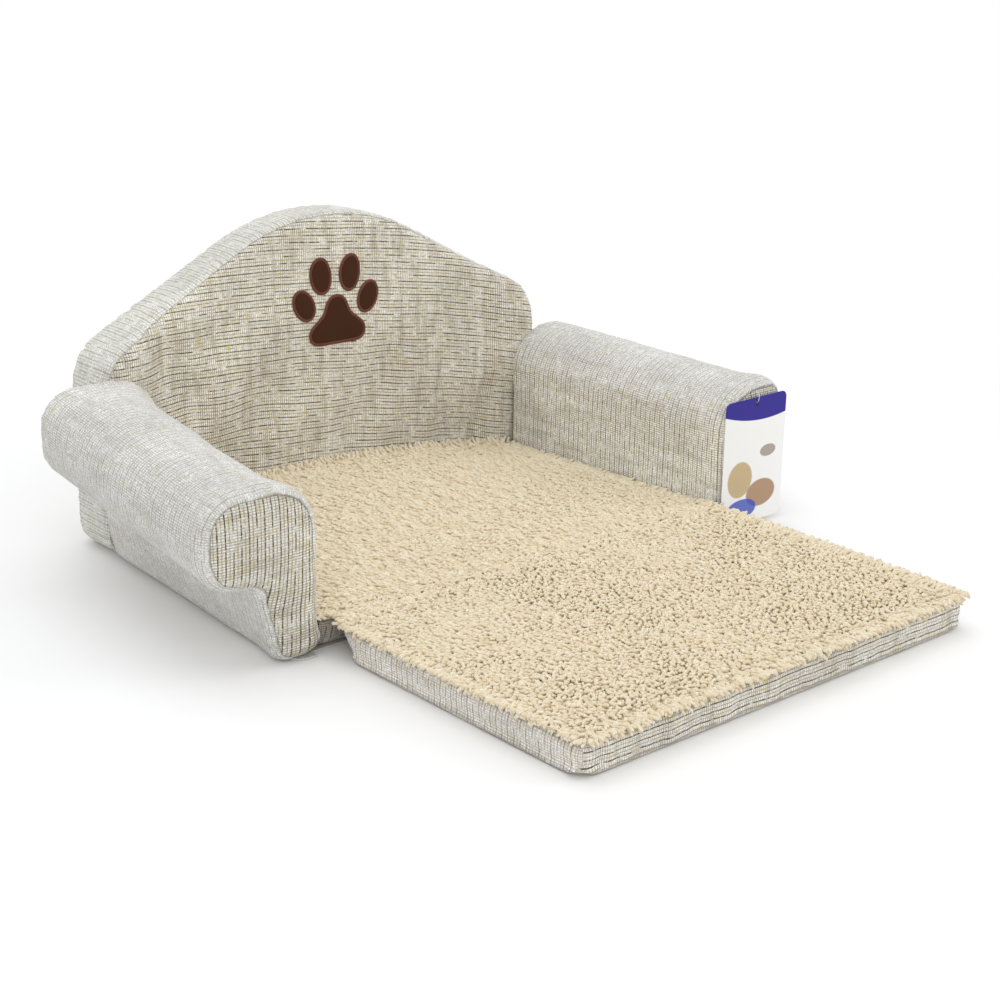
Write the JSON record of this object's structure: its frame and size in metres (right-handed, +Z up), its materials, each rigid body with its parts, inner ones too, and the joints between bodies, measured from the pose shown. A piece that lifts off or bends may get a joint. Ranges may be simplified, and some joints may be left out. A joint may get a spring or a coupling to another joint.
{
  "type": "pet bed",
  "caption": "Sofa-shaped pet bed with a camel-back cushion, rolled arms and a pile-topped panel that unfolds forward from the seat onto the floor.",
  "frame": {"origin": "on the floor under the seat, midway between the crease of the pile and the face of the back cushion, on the middle of the width", "axes": "+Z up, +Y from the fold-out panel towards the back cushion, +X to the right as seen from the front"},
  "size_m": [0.75, 0.7311, 0.3211],
  "materials": {
    "tweed": "coarse slub tweed",
    "pile": "chenille noodle pile",
    "foam": "open-cell foam",
    "underside": "non-slip cloth",
    "felt": "short felt",
    "stitching": "satin stitch",
    "zip_cloth": "woven tape",
    "zip_metal": "plated",
    "card": "coated card",
    "clear_plastic": "moulded loop"
  },
  "bodies": {
    "sofa": {"sofa_sheet": "underside", "seat_foam": "foam", "seat_boxing": "tweed", "seat_pile": "pile", "fold_hem": "pile", "left_arm_foam": "foam", "left_arm_wrap": "tweed", "left_arm_front": "tweed", "left_arm_rear": "tweed", "right_arm_foam": "foam", "right_arm_wrap": "tweed", "right_arm_front": "tweed", "right_arm_rear": "tweed", "back_foam": "foam", "back_face": "tweed", "back_boxing": "tweed", "back_rear": "tweed", "paw_pad": "felt", "paw_toe_1": "felt", "paw_toe_2": "felt", "paw_toe_3": "felt", "paw_toe_4": "felt", "zip_tape": "zip_cloth"},
    "fold_panel": {"panel_sheet": "underside", "panel_foam": "foam", "panel_boxing": "tweed", "panel_pile": "pile"},
    "tag": {"swing_tag": "card", "tag_loop": "clear_plastic"},
    "slider": {"zip_slider": "zip_metal"},
    "pull": {"zip_pull": "zip_metal"}
  },
  "joints": [
    {"name": "fold_out", "type": "hinge", "parent": "sofa", "child": "fold_panel", "pos_m": [0, -0.1708, 0.0395], "axis": [-1, 0, 0], "range_deg": [0, 180]},
    {"name": "tag_swing", "type": "hinge", "parent": "sofa", "child": "tag", "pos_m": [0.302, -0.1721, 0.1495], "axis": [-1, 0, 0], "range_deg": [0, 120]},
    {"name": "zip_slide", "type": "slide", "parent": "sofa", "child": "slider", "axis": [1, 0, 0], "range_m": [0, 0.4204]},
    {"name": "pull_swing", "type": "hinge", "parent": "slider", "child": "pull", "pos_m": [-0.2102, 0.2341, 0.044], "axis": [1, 0, 0], "range_deg": [0, 170]}
  ]
}
